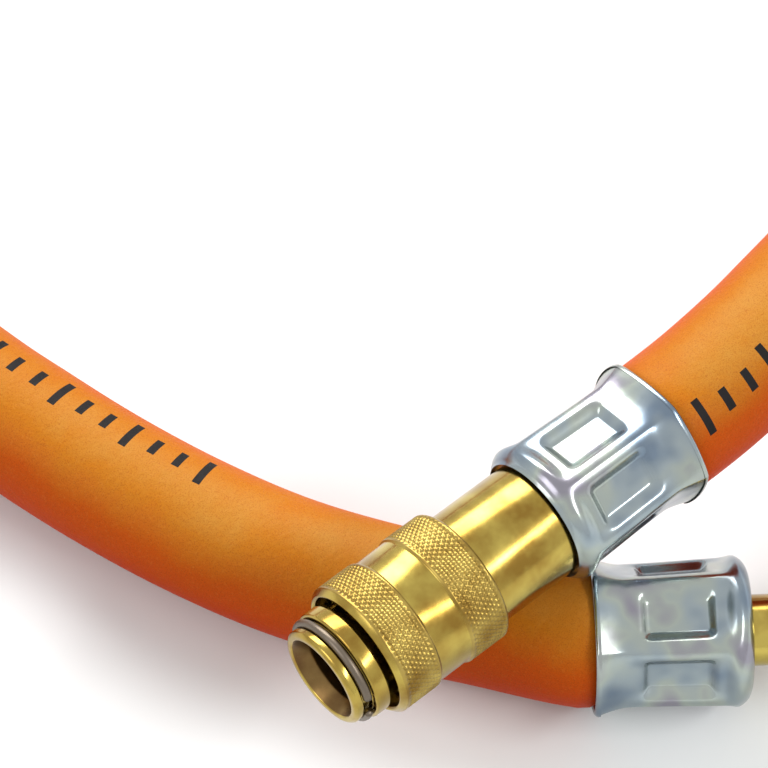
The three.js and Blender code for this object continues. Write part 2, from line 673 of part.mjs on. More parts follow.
function coupler() {
  const group = new THREE.Group();
  group.position.copy(COUPLER_MOUTH);
  const springD = cageRadius + sleeveBore;
  group.add(
    piece('coupler_body', couplerBody(), brass()),
    piece('coupler_tail', couplerTail(), brass()),
    piece('coupler_sleeve', couplerSleeve(), brass()),
    piece('stop_collar', stopCollar(), brass()),
    piece('snap_ring', snapRing(), springSteel()),
    piece('valve', valve(), brass()),
    piece('valve_seal', oRing(valveSealMean, valveSealAt, VALVE_SEAL_WIRE_D), sealRubber()),
    piece('front_seal', oRing(frontSealMean, FRONT_SEAL_AT, FRONT_SEAL_WIRE_D), sealRubber()),
    piece('body_seal', oRing((CHAMBER_D / 2 + cageRadius) / 2, bodySealAt, BODY_SEAL_WIRE_D), sealRubber()),
    piece('sleeve_spring', spring(springD, SLEEVE_SPRING_WIRE_D, SLEEVE_SPRING_TURNS, landEnd, TAIL_START),
      springSteel()),
    piece('valve_spring', spring(VALVE_SPRING_D, VALVE_SPRING_WIRE_D, VALVE_SPRING_TURNS, valveFlangeEnd,
      TAIL_CHAMBER_END), springSteel()),
    piece('coupler_ferrule', couplerFerrule(), zincSteel()),
  );
  ballAngles().forEach((angle, i) => {
    group.add(piece(`ball_${i + 1}`, lockingBall(angle), ballSteel()));
  });
  return group;
}

function nipple() {
  const group = new THREE.Group();
  group.position.copy(nipplePoint(0));
  group.rotation.z = NIPPLE_HEADING + Math.PI;
  group.add(
    piece('plug_nipple', plugNipple(), brass()),
    piece('nipple_ferrule', nippleFerrule(), zincSteel()),
  );
  return group;
}

const gasHose = new THREE.Group();
gasHose.add(coupler(), nipple(), piece('hose', hose(), hoseRubber()));

export default gasHose;
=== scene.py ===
import math

import bmesh
import bpy
import numpy as np
from mathutils import Matrix, Vector

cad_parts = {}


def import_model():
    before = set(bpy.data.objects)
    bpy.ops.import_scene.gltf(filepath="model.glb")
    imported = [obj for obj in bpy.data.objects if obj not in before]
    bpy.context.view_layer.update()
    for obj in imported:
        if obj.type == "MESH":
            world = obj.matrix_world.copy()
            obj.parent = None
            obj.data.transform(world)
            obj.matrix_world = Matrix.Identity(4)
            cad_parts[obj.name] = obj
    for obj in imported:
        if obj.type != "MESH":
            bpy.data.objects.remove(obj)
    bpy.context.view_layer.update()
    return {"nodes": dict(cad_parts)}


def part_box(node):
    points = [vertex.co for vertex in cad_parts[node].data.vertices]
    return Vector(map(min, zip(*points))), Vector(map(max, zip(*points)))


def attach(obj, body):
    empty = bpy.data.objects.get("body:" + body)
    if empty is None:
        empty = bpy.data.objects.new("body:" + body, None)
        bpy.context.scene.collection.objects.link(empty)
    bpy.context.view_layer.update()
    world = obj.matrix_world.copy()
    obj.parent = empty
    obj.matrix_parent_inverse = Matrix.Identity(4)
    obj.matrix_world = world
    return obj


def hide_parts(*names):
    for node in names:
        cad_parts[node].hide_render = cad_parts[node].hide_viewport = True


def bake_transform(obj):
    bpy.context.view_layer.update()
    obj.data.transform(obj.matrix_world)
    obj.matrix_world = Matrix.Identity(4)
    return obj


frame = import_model()

MM = 0.001

# View of the photograph
VIEW_AT = (4.62, 39.87, 10.0)
VIEW_DISTANCE = 550.4
VIEW_RISE = math.radians(57.67)
VIEW_TURN = math.radians(40.63)
VIEW_ROLL = math.radians(0.24)
VIEW_LENS = 239.7
VIEW_REACH = 10

# Room between pieces that run in or lie against each other, and a plain broken edge
RUN_GAP = 0.1
FACE_GAP = 0.05
EDGE = 0.2

# Hose
HOSE_D = 15.0
HOSE_LENGTH = 600
HOSE_SIDES = 96
HOSE_STEPS = 640
HOSE_END_GAP = 0.3
HOSE_SQUEEZED_D = 10.0
SQUEEZE_END = 1.0
SQUEEZE_RUN = 4.0
ROUTE = [
    (16.9, 10.7, 23.5), (25.6, 11.0, 23.5), (36.6, 12.4, 23.3), (52.1, 16.2, 21.7), (75.4, 26.6, 16.6),
    (95.8, 42.0, 11.0), (112.3, 61.5, 8.0), (124.1, 84.2, 7.5), (130.5, 108.9, 7.5), (131.3, 134.5, 7.5),
    (126.2, 159.5, 7.5), (114.1, 182.0, 7.5), (95.2, 199.1, 7.5), (71.6, 208.7, 7.5), (46.1, 209.6, 7.5),
    (21.9, 201.8, 7.5), (1.2, 186.8, 7.5), (-14.9, 167.0, 7.5), (-26.2, 144.1, 7.5), (-32.2, 119.2, 7.5),
    (-32.6, 93.6, 7.5), (-29.2, 70.9, 7.5), (-27.1, 60.8, 7.5), (-24.6, 50.8, 7.5), (-21.2, 40.4, 7.5),
    (-16.9, 30.4, 7.5), (-11.5, 21.3, 7.5), (-5.5, 12.9, 7.7), (1.35, 2.8, 8.4),
]

# Marks of a length scale on the hose: rows of bars, every third one longer, with plain stretches between
PRINT_START = 17.0
PRINT_LENGTH = 57.0
PRINT_REPEAT = 117.2
PRINT_SHORT_HEIGHT = 2.52
PRINT_LONG_HEIGHT = 4.2
PRINT_LONG_EVERY = 3
PRINT_PITCH = 3.1
PRINT_BAR = PRINT_PITCH * 0.3
PRINT_TURN = (0.11, -0.19)

# Ferrules, as in the part
NIPPLE_RIM = Vector((1.35, 2.8, 8.4))
NIPPLE_HEADING = math.radians(-37.5)
FERRULE_LENGTH = 16.7
FERRULE_WALL = 0.8
FERRULE_BODY_D = 16.2
FERRULE_FLATS = 14.4
FERRULE_RIM_D = 17.4
FERRULE_FLARE = 3.6
FERRULE_FILLET = 2.2
FERRULE_INNER_BEVEL = 0.6
FERRULE_RECESS = 0.6
RECESS_MARGIN = 0.35
CRIMP_FACES = 6
CRIMP_START = 1.2
CRIMP_RUN_IN = 2.0
RIM_CRIMP = 0.6
WAIST_DEPTH = 0.25
COUPLER_CRIMP_ANGLE = math.radians(18)
NIPPLE_CRIMP_ANGLE = math.radians(17)

# Fine form of the ferrules: dimples and dishes in their faces, lip of the recess, curled and waved rim
DISH_DEPTH = 0.14
DISH_EDGE = 1.6
DISH_EDGE_ANGLE = math.radians(12)
DIMPLE_START = 3.7
DIMPLE_LENGTH = 8.3
DIMPLE_HALF_ANGLE = math.radians(18.5)
DIMPLE_EDGE_ANGLE = math.radians(9.5)
DIMPLE_EDGE = 1.2
DIMPLE_DEPTH = 0.8
RIDGE_SOFTNESS = 0.25
RIDGE_LIFT = RIDGE_SOFTNESS / 4
RECESS_LIP_WIDTH = 0.15
RECESS_LIP_SLOPE = 0.1
RECESS_LIP_START = 0.08
FLARE_SPAN = (0.1, 0.9)
BEAD_RADIUS = FERRULE_WALL * 0.6
BEAD_SPAN = (math.pi * 0.4, math.pi * 1.4)
RIM_WAVE_DEPTH = 0.07
RIM_WAVES = 3
RIM_WAVE_TURN = 0.7

# Barbed stems. The rise and the land of a barb are shares of its pitch.
BARB_CREST_D = 9.0
BARB_ROOT_D = 8.0
BARB_LENGTH = 16
BARB_COUNT = 4
BARB_RISE = 0.3
BARB_LAND = 0.12
BARB_UNDERCUT = 0.1
STEM_GAP = 0.3

# Plug nipple
PLUG_LENGTH = 14.5
PLUG_D = 7.5
PLUG_BORE_D = 4.0
PLUG_CHAMFER = 0.5
PLUG_GROOVE_AT = 4.0
PLUG_GROOVE_WIDTH = 2.2
PLUG_GROOVE_DEPTH = 0.5

# Nose of the coupling
BODY_BORE_D = 7.8
BODY_END = 19.6
LIP_D = 11.2
LIP_BEVEL = 0.35
MOUTH_D = 9.4
MOUTH_DEPTH = 1.8
# Station after which the bore wall takes the dark brass that paints shade inside the bore
BORE_SHADE_START = 0.12
CAGE_D = 11.0
CHAMBER_D = 9.2
SEAT_CONE_AT = 12.5
SEAL_GROOVE_AT = 10.35
SEAL_GROOVE_WIDTH = 1.5
SEAL_GROOVE_D = 9.8
RING_GROOVE_AT = 1.05
RING_GROOVE_WIDTH = 1.1
RING_GROOVE_DEPTH = 0.55
RING_WIRE_D = 1.0
RING_OPEN_AT = 176
RING_OPEN_ANGLE = 26
COLLAR_D = 12.6
COLLAR_WIDTH = 1.9
BALL_COUNT = 6
BALL_AT = 7.0
BALL_HOLE_D = 2.32
BALL_HOLE_MIDDLE = 4.5
BALL_HOLE_LENGTH = 3.2

# Release sleeve
SLEEVE_D = 15.2
SLEEVE_START = 4.6
SLEEVE_TRAVEL = 3.0
SLEEVE_CHAMFER = 0.6
SLEEVE_REAR_CHAMFER = 0.3
SLEEVE_MOUTH_D = 13.3
FRONT_BAND = 5.2
SMOOTH_BAND = 4.0
REAR_BAND = 5.0
SMOOTH_DEPTH = 0.25
CAM_START_D = 12.4
CAM_SLOPE = 0.2
LOCK_LAND_D = 11.3
LOCK_LAND_LENGTH = 1.1

# Knurl of the sleeve: crossed rows of teeth that fade out before the ends of each band
KNURL_COUNT = 72
KNURL_DEPTH = 0.16
KNURL_STEPS = 6
KNURL_LEAN = 1.2
KNURL_SHARPNESS = 1.3
KNURL_ROW = 0.09
KNURL_FADE = 0.35
KNURL_FRONT_MARGIN = 0.75
KNURL_MIDDLE_MARGIN = 0.25
KNURL_REAR_MARGIN = 0.35
KNURL_SKIN = 0.05
KNURL_LEAST_WIDTH = 1

# Tail of the coupling
TAIL_START = 15.5
TAIL_D = 13.0
TAIL_END = 28.6
TAIL_CHAMFER = 0.2
TAIL_NECK_D = 10.4
TAIL_CHAMBER_D = 8.8
TAIL_CHAMBER_END = 23.0
TAIL_PASSAGE_D = 5.0
SOCKET_END = 20.4

# Springs
SLEEVE_SPRING_D = 12.1
SLEEVE_SPRING_WIRE_D = 0.7
SLEEVE_SPRING_TURNS = 3.5
VALVE_SPRING_D = 6.6
VALVE_SPRING_WIRE_D = 0.5
VALVE_SPRING_TURNS = 5
VALVE_FLANGE_END = 15.2

# Places along the coupling that follow from the sizes above
FRONT_BAND_END = SLEEVE_START + FRONT_BAND
REAR_BAND_START = FRONT_BAND_END + SMOOTH_BAND
SLEEVE_END = REAR_BAND_START + REAR_BAND
COLLAR_START = RING_GROOVE_AT + RING_GROOVE_WIDTH + FACE_GAP
COLLAR_END = COLLAR_START + COLLAR_WIDTH
CAM_START = COLLAR_END + SLEEVE_TRAVEL + FACE_GAP
LAND_START = CAM_START + (CAM_START_D - LOCK_LAND_D) / 2 / CAM_SLOPE
LAND_END = LAND_START + LOCK_LAND_LENGTH

# Fineness of the meshes
ROUND = 144
FERRULE_ROUND = 240
CURVE_POINTS = 9
BEAD_POINTS = 8
CORNER_STEPS = 3
CORNER_SHARE = 0.4
FERRULE_STEP = 0.3
HOLE_SIDES = 24
WIRE_SIDES = 12
RING_POINTS = 121
COIL_STEPS_PER_TURN = 36
SLEEVE_EDGE_ROUND = 0.12
NOSE_EDGE_ROUND = 0.15
STEM_EDGE_ROUND = 0.1
SHARP_ANGLE = 40
SLEEVE_SHARP_ANGLE = 45
FERRULE_SHARP_ANGLE = 50

# Colours of the hose, from its underside in painted shade to its top in painted light and dust
RUBBER_UNDER = (0.66, 0.052, 0.001)
RUBBER_SIDE = (0.61, 0.093, 0.001)
RUBBER_UPPER = (0.57, 0.185, 0.008)
RUBBER_TOP = (0.58, 0.29, 0.05)
RUBBER_SPECKS = (0.82, 0.36, 0.07)
RUBBER_GRAIN = (0.3, 0.04, 0.001)
PRINT_INK = (0.012, 0.01, 0.01)
# How much upward-facing paints light on the hose, an even share of dust, and the share of the dust and
# painted highlight patches
PAINTED_TOP_LIGHT_BY_SLOPE = 0.62
DUST_EVERYWHERE = 0.03
DUST_AND_HIGHLIGHT_BY_PATCH = 0.45

# Tones of the zinc plating
ZINC_BLUE = (0.17, 0.22, 0.28)
ZINC_GREY = (0.3, 0.35, 0.37)
ZINC_GREEN = (0.36, 0.4, 0.36)
ZINC_VIOLET = (0.27, 0.26, 0.3)

# Studio: what the background shows, what it and the floor give the object, and three soft lamps
BACKGROUND = (1.0, 1.0, 1.0)
ROOM_LIGHT = (0.475, 0.478, 0.481)
FLOOR_SEEN = (0.98, 1.0, 1.0)
FLOOR_LIGHT = (0.4, 0.4, 0.4)
FLOOR_SIZE = 4
WHITE = (1, 1, 1)
WARM_WHITE = (1, 0.98, 0.96)
LAMPS = [
    dict(name="back_softbox", place=(0.35, 0.7, 0.6), size=(0.8, 0.5), power=9.5, color=WARM_WHITE),
    dict(name="front_strip", place=(0.35, -0.64, 0.69), size=(0.6, 0.14), power=3.8, color=WHITE),
    dict(name="left_fill", place=(-0.8, 0.2, 0.7), size=(0.5, 0.5), power=2.5, color=WHITE),
]


def camera():
    data = bpy.data.cameras.new("camera")
    data.lens = VIEW_LENS
    data.clip_end = VIEW_REACH
    made = bpy.data.objects.new("camera", data)
    bpy.context.scene.collection.objects.link(made)
    rise, turn, roll = VIEW_RISE, VIEW_TURN, VIEW_ROLL
    back = Vector((-math.sin(turn) * math.cos(rise), -math.cos(turn) * math.cos(rise), math.sin(rise)))
    right = Vector((math.cos(turn), -math.sin(turn), 0))
    up = back.cross(right)
    rolled = right * math.cos(roll) + up * math.sin(roll)
    upright = up * math.cos(roll) - right * math.sin(roll)
    place = (Vector(VIEW_AT) + back * VIEW_DISTANCE) * MM
    made.matrix_world = Matrix((
        (rolled.x, upright.x, back.x, place.x),
        (rolled.y, upright.y, back.y, place.y),
        (rolled.z, upright.z, back.z, place.z),
        (0, 0, 0, 1),
    ))
    bpy.context.scene.camera = made


def new_mesh(name, vertices, faces):
    mesh = bpy.data.meshes.new(name)
    mesh.from_pydata([tuple(v) for v in vertices], [], faces)
    mesh.validate()
    made = bpy.data.objects.new(name, mesh)
    bpy.context.scene.collection.objects.link(made)
    mesh.polygons.foreach_set("use_smooth", [True] * len(mesh.polygons))
    return made


def distances(line):
    return np.concatenate([[0], np.cumsum(np.linalg.norm(np.diff(line, axis=0), axis=1))])


# Centre line through points: the same uniform Catmull-Rom curve that the part uses, in even steps
def smooth_line(points, steps):
    p = np.array(points, float)
    p = np.vstack([2 * p[0] - p[1], p, 2 * p[-1] - p[-2]])
    spans = len(p) - 3
    line = []
    for t in np.linspace(0, spans, steps + 1):
        i = min(int(t), spans - 1)
        u = t - i
        a, b, c, d = p[i:i + 4]
        line.append(b + 0.5 * u * (c - a + u * (2 * a - 5 * b + 4 * c - d + u * (3 * (b - c) + d - a))))
    line = np.array(line)
    far = distances(line)
    even = np.linspace(0, far[-1], steps + 1)
    return np.stack([np.interp(even, far, line[:, k]) for k in range(3)], 1), even


# Tube of a changing radius along a line, with u along it in millimetres and v round it from 0 to 1
def tube(name, line, far, radii, sides):
    ahead = np.gradient(line, axis=0)
    ahead /= np.linalg.norm(ahead, axis=1)[:, None]
    side = np.cross(ahead, (0, 0, 1))
    side /= np.linalg.norm(side, axis=1)[:, None]
    top = np.cross(side, ahead)
    rings = len(line)
    angles = np.arange(sides) * 2 * math.pi / sides
    upwards = np.cos(angles)[None, :, None] * top[:, None, :]
    around = upwards + np.sin(angles)[None, :, None] * side[:, None, :]
    vertices = (line[:, None, :] + radii[:, None, None] * around).reshape(-1, 3) * MM
    faces = []
    for i in range(rings - 1):
        for j in range(sides):
            k = (j + 1) % sides
            faces.append((i * sides + j, (i + 1) * sides + j, (i + 1) * sides + k, i * sides + k))
    faces.append(tuple(range(sides)))
    faces.append(tuple((rings - 1) * sides + j for j in reversed(range(sides))))
    made = new_mesh(name, vertices, faces)
    layer = made.data.uv_layers.new(name="along")
    for face in made.data.polygons[:-2]:
        wraps = face.vertices[2] % sides == 0 or face.vertices[3] % sides == 0
        for corner, vertex in zip(face.loop_indices, face.vertices):
            j = vertex % sides
            share = 1.0 if wraps and j == 0 else j / sides
            layer.data[corner].uv = (far[vertex // sides], share)
    return made


def ease(t):
    t = np.clip(t, 0, 1)
    return t * t * (3 - 2 * t)


def coupler_place():
    low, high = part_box("coupler_body")
    return Vector((low.x, (low.y + high.y) / 2, (low.z + high.z) / 2)) / MM


def coupler_matrix():
    return Matrix.Translation(coupler_place())


def nipple_ahead():
    return Vector((math.cos(NIPPLE_HEADING), math.sin(NIPPLE_HEADING), 0))


def nipple_matrix():
    tip = NIPPLE_RIM + nipple_ahead() * (PLUG_LENGTH + FERRULE_LENGTH)
    return Matrix.Translation(tip) @ Matrix.Rotation(NIPPLE_HEADING + math.pi, 4, "Z")


def hose():
    into = -nipple_ahead()
    mouth = coupler_place()
    start = mouth + Vector((TAIL_END + FERRULE_RECESS + FERRULE_WALL + HOSE_END_GAP, 0, 0))
    end = NIPPLE_RIM + into * (FERRULE_WALL + HOSE_END_GAP - FERRULE_LENGTH)
    half = FERRULE_LENGTH / 2
    points = [start, start + Vector((half, 0, 0)), *ROUTE, end + into * half, end]
    line, far = smooth_line(points, HOSE_STEPS)
    held = FERRULE_LENGTH - SQUEEZE_END
    open_radius = HOSE_D / 2
    squeezed = HOSE_SQUEEZED_D / 2
    near_end = np.minimum(far, far[-1] - far)
    radii = squeezed + (open_radius - squeezed) * ease((near_end - held + SQUEEZE_RUN) / SQUEEZE_RUN)
    made = tube("hose_rubber_tube", line, far, radii, HOSE_SIDES)
    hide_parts("hose")
    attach(made, "root")
    return made


# Closed profile of (radius, station) points with its corners eased over a distance
def rounded(profile, size):
    points = [np.array(p, float) for p in profile]
    result = []
    for i, here in enumerate(points):
        before, after = points[i - 1], points[(i + 1) % len(points)]
        into, out = before - here, after - here
        reach = min(size, CORNER_SHARE * np.linalg.norm(into), CORNER_SHARE * np.linalg.norm(out))
        start = here + into / np.linalg.norm(into) * reach
        end = here + out / np.linalg.norm(out) * reach
        for t in np.linspace(0, 1, CORNER_STEPS + 1):
            result.append(tuple((1 - t) ** 2 * start + 2 * t * (1 - t) * here + t * t * end))
    return result


# Closed profile with no edge longer than a step
def divided(profile, step):
    result = []
    for i, here in enumerate(profile):
        a, b = np.array(here, float), np.array(profile[(i + 1) % len(profile)], float)
        parts = max(1, math.ceil(np.linalg.norm(b - a) / step))
        result += [tuple(a + (b - a) * k / parts) for k in range(parts)]
    return result


# Spins a closed profile about +X and moves its points outwards by press(radius, station, angle)
def lathe(name, profile, place, segments=ROUND, press=None, sharp=SHARP_ANGLE):
    p = np.array(profile, float)
    area = np.sum(p[:, 0] * np.roll(p[:, 1], -1) - np.roll(p[:, 0], -1) * p[:, 1])
    if area < 0:
        p = p[::-1]
    rows = len(p)
    angles = np.arange(segments) * 2 * math.pi / segments
    radius = np.repeat(p[:, 0][:, None], segments, 1)
    station = np.repeat(p[:, 1][:, None], segments, 1)
    angle = np.repeat(angles[None, :], rows, 0)
    if press is not None:
        radius = radius + press(radius, station, angle)
    local = np.stack([station, radius * np.cos(angle), radius * np.sin(angle)], -1).reshape(-1, 3)
    turn = np.array(place.to_3x3())
    vertices = (local @ turn.T + np.array(place.translation)) * MM
    index = np.arange(rows * segments).reshape(rows, segments)
    nxt = np.roll(index, -1, 0)
    quads = np.stack([index, nxt, np.roll(nxt, -1, 1), np.roll(index, -1, 1)], -1).reshape(-1, 4)
    made = new_mesh(name, vertices, quads.tolist())
    made.data.set_sharp_from_angle(angle=math.radians(sharp))
    return made


def dress(made, node, finish, body="root"):
    made.data.materials.append(finish)
    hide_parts(node)
    if body:
        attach(made, body)


# Second material for the faces that a test of their middle, measured from the coupling's mouth, picks
def refinish(made, finish, picks):
    made.data.materials.append(finish)
    place = coupler_place()
    for face in made.data.polygons:
        center = face.center / MM - place
        if picks(center.x, math.hypot(center.y, center.z)):
            face.material_index = 1


def material(name, color, roughness, metallic=0.0):
    made = bpy.data.materials.new(name)
    made.use_nodes = True
    shader = made.node_tree.nodes["Principled BSDF"]
    shader.inputs["Base Color"].default_value = (*color, 1)
    shader.inputs["Roughness"].default_value = roughness
    shader.inputs["Metallic"].default_value = metallic
    return made, made.node_tree, shader


def noise(tree, scale, detail, rough=0.5):
    place = tree.nodes.new("ShaderNodeTexCoord")
    made = tree.nodes.new("ShaderNodeTexNoise")
    made.inputs["Scale"].default_value = scale
    made.inputs["Detail"].default_value = detail
    made.inputs["Roughness"].default_value = rough
    tree.links.new(place.outputs["Object"], made.inputs["Vector"])
    return made.outputs["Fac"]


def ramp(tree, value, *stops):
    made = tree.nodes.new("ShaderNodeValToRGB")
    first, last = made.color_ramp.elements
    first.position, first.color = stops[0][0], (*stops[0][1], 1)
    last.position, last.color = stops[-1][0], (*stops[-1][1], 1)
    for position, color in stops[1:-1]:
        made.color_ramp.elements.new(position).color = (*color, 1)
    tree.links.new(value, made.inputs["Fac"])
    return made.outputs["Color"]


def grey(level):
    return (level, level, level)


def levels(tree, value, low, high):
    made = tree.nodes.new("ShaderNodeMapRange")
    made.inputs["To Min"].default_value = low
    made.inputs["To Max"].default_value = high
    tree.links.new(value, made.inputs["Value"])
    return made.outputs["Result"]


def bump(tree, shader, height, strength, distance):
    made = tree.nodes.new("ShaderNodeBump")
    made.inputs["Strength"].default_value = strength
    made.inputs["Distance"].default_value = distance
    tree.links.new(height, made.inputs["Height"])
    tree.links.new(made.outputs["Normal"], shader.inputs["Normal"])


def math_node(tree, operation, a, b=0.0, c=0.0):
    made = tree.nodes.new("ShaderNodeMath")
    made.operation = operation
    for socket, value in zip(made.inputs, (a, b, c)):
        if isinstance(value, (int, float)):
            socket.default_value = value
        else:
            tree.links.new(value, socket)
    return made.outputs["Value"]


def mixed(tree, share, a, b):
    made = tree.nodes.new("ShaderNodeMix")
    made.data_type = "RGBA"
    for name, value in (("Factor", share), ("A", a), ("B", b)):
        if isinstance(value, tuple):
            made.inputs[name].default_value = (*value, 1)
        else:
            tree.links.new(value, made.inputs[name])
    return made.outputs["Result"]


# Brass with darker and lighter patches, as smooth as the least roughness given
def brass(name, dark, light, least_rough, rough_spread=0.11):
    made, tree, shader = material(name, light, roughness=0.2, metallic=1.0)
    patches = noise(tree, scale=260, detail=4)
    tree.links.new(ramp(tree, patches, (0.3, dark), (0.7, light)), shader.inputs["Base Color"])
    fine = noise(tree, scale=1800, detail=2)
    rough = levels(tree, fine, low=least_rough, high=least_rough + rough_spread)
    tree.links.new(rough, shader.inputs["Roughness"])
    bump(tree, shader, noise(tree, scale=420, detail=2), strength=0.08, distance=0.0002)
    return made


def zinc():
    made, tree, shader = material("zinc_plate", (0.7, 0.72, 0.78), roughness=0.25, metallic=1.0)
    film = noise(tree, scale=150, detail=2)
    tone = ramp(tree, film, (0.3, ZINC_BLUE), (0.46, ZINC_GREY), (0.56, ZINC_GREEN), (0.66, ZINC_VIOLET))
    tree.links.new(tone, shader.inputs["Base Color"])
    rough = levels(tree, noise(tree, scale=900, detail=3), low=0.16, high=0.3)
    tree.links.new(rough, shader.inputs["Roughness"])
    bump(tree, shader, noise(tree, scale=330, detail=2), strength=0.1, distance=0.0003)
    return made


def steel(name, color, roughness):
    made, tree, shader = material(name, color, roughness, metallic=1.0)
    fine = noise(tree, scale=1200, detail=3)
    rough = levels(tree, fine, low=roughness - 0.05, high=roughness + 0.08)
    tree.links.new(rough, shader.inputs["Roughness"])
    return made


def seal_rubber():
    made, tree, shader = material("seal_rubber", (0.02, 0.02, 0.022), roughness=0.6)
    bump(tree, shader, noise(tree, scale=2500, detail=2), strength=0.2, distance=0.0001)
    return made


# 1 on the bars of the hose's scale marks and 0 beside them
def print_mask(tree):
    uv = tree.nodes.new("ShaderNodeUVMap")
    uv.uv_map = "along"
    split = tree.nodes.new("ShaderNodeSeparateXYZ")
    tree.links.new(uv.outputs["UV"], split.inputs["Vector"])
    far, share = split.outputs["X"], split.outputs["Y"]
    start, turn_rate = PRINT_TURN
    middle = math_node(tree, "MULTIPLY_ADD", far, turn_rate / HOSE_LENGTH, start)
    beside = math_node(tree, "WRAP", math_node(tree, "SUBTRACT", share, middle), 0.5, -0.5)
    across = math_node(tree, "MULTIPLY", math_node(tree, "ABSOLUTE", beside), math.pi * HOSE_D)
    here = math_node(tree, "SUBTRACT", far, PRINT_START)
    local = math_node(tree, "FLOORED_MODULO", here, PRINT_REPEAT)
    shown = math_node(tree, "LESS_THAN", local, PRINT_LENGTH)
    bar = math_node(tree, "LESS_THAN", math_node(tree, "FLOORED_MODULO", local, PRINT_PITCH), PRINT_BAR)
    in_group = math_node(tree, "FLOORED_MODULO", local, PRINT_PITCH * PRINT_LONG_EVERY)
    long_bar = math_node(tree, "LESS_THAN", in_group, PRINT_PITCH)
    longer = (PRINT_LONG_HEIGHT - PRINT_SHORT_HEIGHT) / 2
    height = math_node(tree, "MULTIPLY_ADD", long_bar, longer, PRINT_SHORT_HEIGHT / 2)
    inside = math_node(tree, "LESS_THAN", across, height)
    return math_node(tree, "MULTIPLY", math_node(tree, "MULTIPLY", shown, bar), inside)


# Painted light, dust and wear lighten the upper side of the hose: the tone follows how far the surface faces
# up, plus patches of dust and painted highlight
def hose_rubber():
    made, tree, shader = material("hose_rubber", (0.62, 0.17, 0.008), roughness=0.5)
    shader.inputs["Specular IOR Level"].default_value = 0.12
    cloud = noise(tree, scale=75, detail=6, rough=0.62)
    facing = tree.nodes.new("ShaderNodeNewGeometry")
    split = tree.nodes.new("ShaderNodeSeparateXYZ")
    tree.links.new(facing.outputs["Normal"], split.inputs["Vector"])
    # Painted light and shade: the more the surface faces up, the lighter and yellower the tone, and facing
    # down it is redder and darker
    painted_top_light = math_node(tree, "MULTIPLY_ADD", split.outputs["Z"], PAINTED_TOP_LIGHT_BY_SLOPE, DUST_EVERYWHERE)
    dust_and_painted_light = math_node(tree, "MULTIPLY_ADD", cloud, DUST_AND_HIGHLIGHT_BY_PATCH, painted_top_light)
    tone = ramp(tree, dust_and_painted_light, (0.1, RUBBER_UNDER), (0.55, RUBBER_SIDE), (0.8, RUBBER_UPPER), (1.0, RUBBER_TOP))
    specks = ramp(tree, noise(tree, scale=3400, detail=2), (0.55, grey(0)), (0.8, grey(0.16)))
    specked_tone = mixed(tree, specks, tone, RUBBER_SPECKS)
    grain = ramp(tree, noise(tree, scale=8000, detail=1), (0.3, grey(0.4)), (0.5, grey(0)))
    grained = mixed(tree, grain, specked_tone, RUBBER_GRAIN)
    printed = mixed(tree, print_mask(tree), grained, PRINT_INK)
    tree.links.new(printed, shader.inputs["Base Color"])
    tree.links.new(levels(tree, cloud, low=0.45, high=0.65), shader.inputs["Roughness"])
    bump(tree, shader, noise(tree, scale=1500, detail=4), strength=0.25, distance=0.0003)
    return made


# Closed profile of a ferrule's wall before the crimp, from its hole over the outside and back inside
def ferrule_profile(hole, recess_radius, recess):
    body, rim = FERRULE_BODY_D / 2, FERRULE_RIM_D / 2
    inner = body - FERRULE_WALL
    bottom = recess + FERRULE_WALL
    flare_start = FERRULE_LENGTH - FERRULE_FLARE
    flare = [
        (body + (rim - body) * t * t, flare_start + FERRULE_FLARE * t)
        for t in np.linspace(*FLARE_SPAN, CURVE_POINTS)
    ]
    corner = [
        (body - FERRULE_FILLET * (1 - math.sin(a)), FERRULE_FILLET * (1 - math.cos(a)))
        for a in np.linspace(0, math.pi / 2, CURVE_POINTS)
    ]
    front = [(hole, 0)]
    if recess > 0:
        corner = [(r, s) for r, s in corner if r > recess_radius + RECESS_LIP_WIDTH]
        lip = (recess_radius + RECESS_LIP_SLOPE, RECESS_LIP_START)
        front = [(hole, recess), (recess_radius, recess), lip]
    bead_radius, bead_station = rim - BEAD_RADIUS, FERRULE_LENGTH - BEAD_RADIUS
    bead = [
        (bead_radius + BEAD_RADIUS * math.sin(a), bead_station - BEAD_RADIUS * math.cos(a))
        for a in np.linspace(*BEAD_SPAN, BEAD_POINTS)
    ]
    outside = front + corner + [(body, FERRULE_FILLET + EDGE), (body, flare_start)] + flare + bead
    bevel = FERRULE_INNER_BEVEL
    inside = [(r - FERRULE_WALL, s) for r, s in reversed(flare)]
    inside += [(inner, bottom + bevel), (inner - bevel, bottom), (hole, bottom)]
    return divided(outside + inside, FERRULE_STEP)


